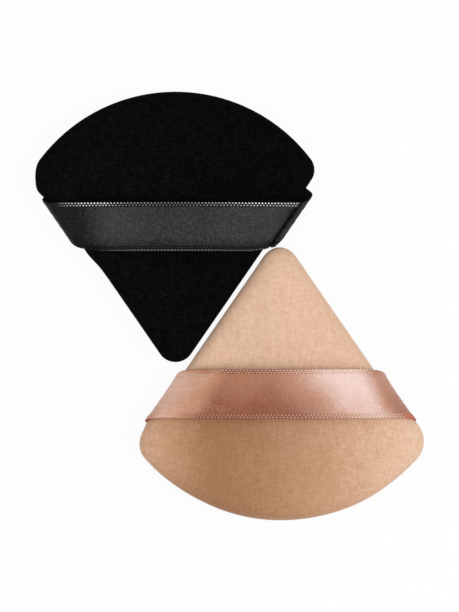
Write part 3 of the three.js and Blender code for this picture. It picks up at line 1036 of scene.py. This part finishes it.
satinFinish = {
    "edgeBand": 1.15 * mm,  # how wide the woven edges are
    "edgeFade": (-0.2 * mm, 0.1 * mm),  # round their inner line
    "edgeEnds": (29 * mm, 22 * mm),  # from its middle, where the painted shade between their loops comes in
    "warpShown": (0.3, 0.7),
    "gloss": (-0.06, 0.08),  # what the warp floats add to the roughness
    "rightHalf": (-12 * mm, 8 * mm),  # along it, where its blush comes in
    "black": {
        "tones": ((0.0015, 0.0015, 0.002), (0.03, 0.03, 0.031), (0.066, 0.066, 0.067)),
        "blush": (1, 1, 1),  # what the tones of its right half are multiplied by
        "sewn": (0.002, 0.002, 0.0024),
        "roughness": 0.46,
        "specular": 0.1,
        "sheen": 0,
        "grain": 0.09 * mm,
        "fleck": 0.3,
        "crinkle": 0.38,
        "cloud": 0.15,
        "base": 0.52,
        # Painted highlights and painted shade: from, to, and how much lighter it is painted, darker
        # below 0. Along it they are counted along the ribbon's tip edge from its middle and slide by
        # their last number per mm across it. Across it they are counted from its tip edge.
        "turns": (
            (5 * mm, 14 * mm, 0.14, 0),
            (17 * mm, 27 * mm, -0.6, 0),
            (-6 * mm, -16 * mm, 0.06, 0),
            (-24 * mm, -31 * mm, -0.25, 0),
        ),
        "paintedLightAcross": ((4 * mm, 0.5 * mm, -0.35),),
        "shadeBetweenLoops": 0.9,
        "edgeDeep": (0.006, 0.006, 0.006),
        "edgeLit": (1, 1, 0.97),
        "edgeSpecular": 0.4,
    },
    "nude": {
        "tones": ((0.235, 0.066, 0.026), (0.52, 0.24, 0.14), (0.86, 0.58, 0.46)),
        "blush": (0.97, 1.05, 1.2),
        "sewn": (0.56, 0.17, 0.1),
        "roughness": 0.36,
        "specular": 0.3,
        "sheen": 0.02,
        "grain": 0.045 * mm,
        "fleck": 0.34,
        "crinkle": 0.06,
        "cloud": 0.26,
        "base": 0.05,
        "turns": (
            (-12.5 * mm, -17.5 * mm, 0.36, -0.46),
            (-17 * mm, -30 * mm, 0.36, -0.2),
            (-5.5 * mm, 4.5 * mm, 0.3, 0.45),
            (0.5 * mm, 14.5 * mm, 0.48, 0.6),
            (18 * mm, 24.2 * mm, -0.5, 0.55),
        ),
        "paintedLightAcross": ((11 * mm, 1 * mm, 0.2),),
        "shadeBetweenLoops": 0.17,
        "edgeDeep": (0.49, 0.26, 0.17),
        "edgeLit": (1, 0.82, 0.68),
        "edgeSpecular": 0.45,
    },
}


def makeSatin(puff):
    look = satinFinish[puff["name"]]
    finish = {
        "Roughness": look["roughness"],
        "Specular IOR Level": look["specular"],
        "Anisotropic": 0.7,
        "Anisotropic Rotation": 0.25,  # the shine spreads across the warp floats
        "Sheen Weight": look["sheen"],
        "Sheen Roughness": 0.3,
    }
    material, tree, shader = newMaterial(puff["name"] + "Satin", finish)
    uv = newNode(tree, "ShaderNodeUVMap", uv_map="ribbonLength").outputs[0]
    weave = placeGroup(tree, satinWeave, uv, {})
    parts = separated(tree, uv)
    shares = [look["base"]]
    for label in ("Fleck", "Crinkle", "Cloud"):
        shares.append(centred(tree, weave[label], look[label.lower()]))
    # Painted highlights and painted shade along the ribbon and across it
    for start, stop, amount, slide in look["turns"]:
        along = maths(tree, "SUBTRACT", parts["X"], times(tree, parts["Y"], slide))
        shares.append(ranged(tree, along, start, stop, 0, amount))
    for start, stop, amount in look["paintedLightAcross"]:
        shares.append(ranged(tree, parts["Y"], start, stop, 0, amount))
    # Between the loops of the woven edges the ground gets painted shade and is dull
    half = ribbonShape["width"] / 2
    side = maths(tree, "ABSOLUTE", maths(tree, "SUBTRACT", parts["Y"], half))
    inner = half - satinFinish["edgeBand"]
    band = ranged(tree, side, *(inner + fade for fade in satinFinish["edgeFade"]))
    fromMiddle = maths(tree, "ABSOLUTE", parts["X"])
    band = times(tree, band, ranged(tree, fromMiddle, *satinFinish["edgeEnds"]))
    shadeBetweenLoops = times(tree, band, look["shadeBetweenLoops"])
    share = maths(tree, "SUBTRACT", plus(tree, *shares), shadeBetweenLoops, clamp=True)
    rightHalf = ranged(tree, parts["X"], *satinFinish["rightHalf"])
    # The tones run from painted shade through the satin's own colour to a painted highlight
    colour = blended(tree, rightHalf, toned(tree, share, look["tones"]), look["blush"], "MULTIPLY")
    # Painted shade in the crease, round the turned-under end, in the seam and on the folded wide corner
    sewn = pointValue(tree, "sewn")
    colour = blended(tree, sewn, colour, look["sewn"])
    spread = (look["roughness"] + more for more in satinFinish["gloss"])
    rough = ranged(tree, weave["Warp"], *satinFinish["warpShown"], *spread)
    rough = maths(tree, "MAXIMUM", rough, maths(tree, "MAXIMUM", shadeBetweenLoops, sewn))
    floats = newNode(tree, "ShaderNodeTangent", direction_type="UV_MAP", uv_map="ribbonLength")
    tree.links.new(floats.outputs[0], shader.inputs["Tangent"])
    feedShader(tree, shader, colour, weave["Height"], look["grain"], strength=0.7, rough=rough)
    return material


selvedge = {
    "rows": (0.28 * mm, 0.84 * mm),  # from the ribbon's long edge
    "width": 0.38 * mm,
    "rise": 0.17 * mm,
    "lift": 0.42,  # above the middle layer, as a share of the ribbon's thickness
    "start": 0.3 * mm,  # above the seam
    "plySpacing": 0.16 * mm,
    "plyDepth": 0.02 * mm,
    # Each long edge: how long its loops are and how many degrees they slant, one way in the
    # outer row and the other way in the inner row; how much painted highlight they get at places
    # along it (0 is the ribbon's middle and 1 its right end), and what share of that the inner
    # row gets. Below 0 it has no loops.
    "black": {
        "pitch": 0.84 * mm,
        "tip": {
            "length": 0.8 * mm,
            "slant": 8,
            "at": (-0.9, -0.8, -0.5, 0.25, 0.5, 0.7),
            "light": (-0.05, 0.07, 0.1, 0.14, 0.07, -0.05),
            "inner": 0.05,
        },
        "wide": {
            "length": 0.58 * mm,
            "slant": 34,
            "at": (-0.87, -0.84, -0.56, -0.26, -0.03, 0.3, 0.4, 0.46, 0.62, 0.67, 0.73, 0.8),
            "light": (-0.5, 0.6, 0.95, 0.4, 0.2, 0.3, 0.55, 1.0, 1.0, 0.65, 0.5, -0.05),
            "inner": 0.6,
        },
    },
    "nude": {
        "pitch": 0.9 * mm,
        "tip": {
            "length": 0.58 * mm,
            "slant": 34,
            "at": (-0.63, -0.53, -0.15, 0.07, 0.28, 0.5, 0.75, 0.82),
            "light": (-0.05, 0.33, 0.3, 0.55, 0.9, 1.0, 1.0, -0.1),
            "inner": 0.7,
        },
        "wide": {
            "length": 0.58 * mm,
            "slant": 34,
            "at": (-0.7, -0.6, -0.15, 0.1, 0.4, 0.65, 0.82, 0.87),
            "light": (-0.05, 0.06, 0.06, 0.25, 0.55, 0.85, 0.6, -0.3),
            "inner": 0.8,
        },
    },
}


# The glossy weft loops of the woven edge, with more painted highlight on some than on others
def makeEdgeThread(puff):
    look = satinFinish[puff["name"]]
    finish = {"Roughness": 0.3, "Specular IOR Level": look["edgeSpecular"]}
    material, tree, shader = newMaterial(puff["name"] + "EdgeThread", finish)
    paintedHighlight = pointValue(tree, "paintedHighlight")
    sizes = {"Ply Spacing": selvedge["plySpacing"]}
    twist = placeGroup(tree, threadTwist, objectPlace(tree), sizes)
    # Painted highlight: from the loops' deep tone to their lit one
    colour = blended(tree, paintedHighlight, look["edgeDeep"], look["edgeLit"])
    rough = ranged(tree, paintedHighlight, 0, 0.35, 0.95, 0.35)
    feedShader(tree, shader, colour, twist["Height"], selvedge["plyDepth"], rough=rough)
    return material


# A small round bead of radius 1
def unitBead(segments=8, rings=4):
    angles = 2 * math.pi * np.arange(segments) / segments
    points = [(0, 0, 1)]
    for polar in math.pi * np.arange(1, rings) / rings:
        flat = math.sin(polar) * np.column_stack([np.cos(angles), np.sin(angles)])
        points += [(x, y, math.cos(polar)) for x, y in flat]
    points.append((0, 0, -1))
    faces = [(0, 1 + s, 1 + (s + 1) % segments) for s in range(segments)]
    for r in range(rings - 2):
        for s in range(segments):
            a, b = 1 + r * segments + s, 1 + r * segments + (s + 1) % segments
            faces.append((a, a + segments, b + segments, b))
    last, base = len(points) - 1, 1 + (rings - 2) * segments
    faces += [(base + s, last, base + (s + 1) % segments) for s in range(segments)]
    return np.array(points), faces


# The woven edges: two staggered rows of slanting weft loops along each
def makeSelvedge(puff, grid, material):
    normals = gridNormals(grid)
    beadPoints, beadFaces = unitBead()
    points, faces, paintedHighlight, count = [], [], [], 0
    shown = grid[:, :, 2].max(axis=1) > padShape["seamHeight"] + selvedge["start"]
    rowsUp = np.nonzero(shown)[0]
    pitch = selvedge[puff["name"]]["pitch"]
    for edge, lane in (("tip", 0), ("tip", 1), ("wide", 0), ("wide", 1)):
        gleam = selvedge[puff["name"]][edge]
        size = np.array([gleam["length"] / 2, selvedge["width"] / 2, selvedge["rise"]])
        slant = math.radians(gleam["slant"]) * (1 if (edge == "tip") == (lane == 0) else -1)
        share = selvedge["rows"][lane] / ribbonShape["width"]
        share = share if edge == "tip" else 1 - share
        column = share * (grid.shape[1] - 1)
        c, part = int(column), column - int(column)
        line = grid[rowsUp, c] * (1 - part) + grid[rowsUp, c + 1] * part
        ups = normals[rowsUp, c] * (1 - part) + normals[rowsUp, c + 1] * part
        steps = np.linalg.norm(np.diff(line, axis=0), axis=1)
        lengths = np.concatenate([[0], np.cumsum(steps)])
        # Counted from the ribbon's middle, so that the rows stay staggered
        middle = np.interp(0, puff["sign"] * (line[:, 0] - puff["corner"][0]), lengths)
        first = (middle + pitch * 0.5 * lane) % pitch
        for at in np.arange(first, lengths[-1], pitch):
            # How much painted highlight this loop gets
            light = np.interp((at - middle) / (lengths[-1] / 2), gleam["at"], gleam["light"])
            if light < 0:
                continue
            k = max(min(int(np.searchsorted(lengths, at)), len(lengths) - 1), 1)
            f = (at - lengths[k - 1]) / (lengths[k] - lengths[k - 1])
            centre = line[k - 1] * (1 - f) + line[k] * f
            up = Vector(ups[k])
            forward = Vector(line[k] - line[k - 1]).normalized()
            sideways = up.cross(forward).normalized()
            long = (forward * math.cos(slant) + sideways * math.sin(slant)).normalized()
            axes = np.array([list(long), list(up.cross(long).normalized()), list(up)])
            lifted = centre + np.array(up) * ribbonShape["thickness"] * selvedge["lift"]
            points.append((beadPoints * size) @ axes + lifted)
            faces += [tuple(v + count for v in face) for face in beadFaces]
            count += len(beadPoints)
            paintedHighlight += [light * (gleam["inner"] if lane else 1)] * len(beadPoints)
    piece = meshObject(puff["name"] + "RibbonSelvedge", np.vstack(points), faces, material)
    addPointValues(piece, "paintedHighlight", paintedHighlight)
    return piece


def makeRibbon(puff):
    grid, shade = ribbonSurface(puff)
    placed = inPlace(puff, grid.reshape(-1, 3)).reshape(grid.shape)
    ribbon, length = thickSheet(puff["name"] + "Ribbon", placed, shade, makeSatin(puff))
    edges = makeSelvedge(puff, placed, makeEdgeThread(puff))
    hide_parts(puff["name"] + "_ribbon_strap")
    for piece in (ribbon, edges):
        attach(piece, "root")


for puff in puffs:
    makeRibbon(puff)
print("ribbons made")


# Threads

threadSetup = {
    "black": {"deep": (0.002, 0.002, 0.003), "lit": (0.008, 0.008, 0.009), "sheen": 0},
    "nude": {"deep": (0.48, 0.3, 0.2), "lit": (0.78, 0.58, 0.44), "sheen": 0.1},
    "plyDepth": 0.04 * mm,
    "closingLength": 26 * mm,
    "wave": 6 * mm,
    "swing": 0.2 * mm,
    "depth": 0.35 * mm,  # inside the wide edge
    "radius": 0.09 * mm,
    "plyGap": 0.9,  # from the thread's middle to a ply's, as a share of the ply's radius
    "twist": 1.1 * mm,
    "sides": 7,
    "steps": 360,
}


def makeThreadMaterial(puff):
    look = threadSetup[puff["name"]]
    finish = {"Roughness": 0.6, "Specular IOR Level": 0.15, "Sheen Weight": look["sheen"]}
    material, tree, shader = newMaterial(puff["name"] + "Thread", finish)
    twist = placeGroup(tree, threadTwist, objectPlace(tree), {})
    colour = blended(tree, twist["Ply"], look["deep"], look["lit"])
    feedShader(tree, shader, colour, twist["Height"], threadSetup["plyDepth"])
    return material


# Two plies of thread that swing from fold to fold along the wide side
def makeClosingThread(puff, material):
    radius = puff["wideRadius"] - threadSetup["depth"]
    thin, sides, steps = threadSetup["radius"], threadSetup["sides"], threadSetup["steps"]
    points, faces = [], []
    along = np.linspace(-0.5, 0.5, steps + 1) * threadSetup["closingLength"]
    angle = along / radius
    outward = np.column_stack([np.sin(angle), -np.cos(angle), np.zeros(len(angle))])
    core = outward * radius
    core[:, 1] += puff["wideRadius"] - puff["length"]
    swing = np.sin(2 * math.pi * along / threadSetup["wave"])
    core[:, 2] = padShape["seamHeight"] + threadSetup["swing"] * swing
    up = np.array([0.0, 0.0, 1.0])
    count = steps + 1
    for ply in (0, 1):
        turn = 2 * math.pi * along / threadSetup["twist"] + ply * math.pi
        offset = np.cos(turn)[:, None] * outward + np.sin(turn)[:, None] * up
        line = core + offset * thin * threadSetup["plyGap"]
        base = ply * sides * count
        for s in range(sides):
            a = 2 * math.pi * s / sides
            points.append(line + thin * (math.cos(a) * outward + math.sin(a) * up))
            here, there = base + s * count, base + (s + 1) % sides * count
            for k in range(steps):
                faces.append((here + k, there + k, there + k + 1, here + k + 1))
        faces.append(tuple(base + s * count for s in reversed(range(sides))))
        faces.append(tuple(base + s * count + steps for s in range(sides)))
    placed = inPlace(puff, np.vstack(points))
    thread = meshObject(puff["name"] + "ClosingStitch", placed, faces, material)
    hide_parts(puff["name"] + "_closing_thread")
    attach(thread, "root")


for puff in puffs:
    threadMaterial = makeThreadMaterial(puff)
    makeClosingThread(puff, threadMaterial)
    for node in ("_needle_thread", "_bobbin_thread"):
        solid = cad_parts[puff["name"] + node]
        for slotIndex in range(len(solid.material_slots)):
            solid.material_slots[slotIndex].material = threadMaterial
print("threads made")


# End

print("scene built")
